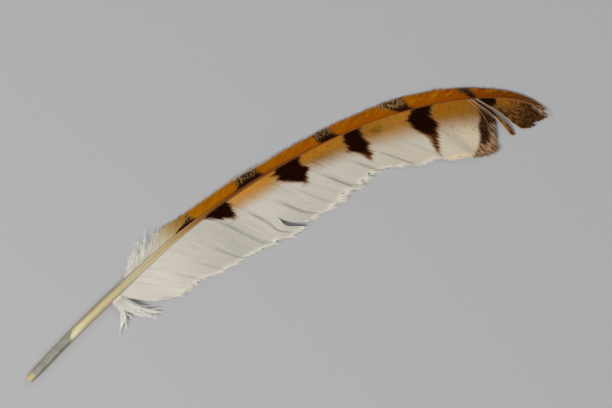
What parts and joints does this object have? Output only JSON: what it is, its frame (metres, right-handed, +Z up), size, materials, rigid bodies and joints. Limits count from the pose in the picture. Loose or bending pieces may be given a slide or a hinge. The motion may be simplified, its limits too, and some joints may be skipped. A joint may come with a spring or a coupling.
{
  "type": "owl wing feather",
  "caption": "Flight feather lying flat: hollow quill, curved shaft, narrow barred leading web, broad pale trailing web with dark bars, and loose down at the base.",
  "frame": {"origin": "on the ground under the middle of the feather's box", "axes": "+X from the quill's cut end to the tip, +Y towards the narrow leading web, +Z up out of the back of the feather"},
  "size_m": [0.2094, 0.0344, 0.0033],
  "materials": {
    "quill_horn": "smooth, faintly translucent pale horn, greyer where the quill is hollow and tan to brown along the back of the shaft",
    "barred_web": "matt silky orange-brown barbs with dark brown bars and a pale speckled fringe",
    "pale_web": "matt silky off-white barbs, tan beside the shaft, with dark brown partial bars",
    "mottled_web": "matt brown barbs with tan mottling",
    "white_down": "soft white loose barbs"
  },
  "bodies": {
    "root": {"shaft": "quill_horn", "outer_down": "white_down", "outer_vane": "barred_web", "inner_down_back": "white_down", "inner_down_forward": "white_down", "inner_vane": "pale_web", "loose_strip": "mottled_web", "tip_vane": "mottled_web"}
  },
  "joints": []
}
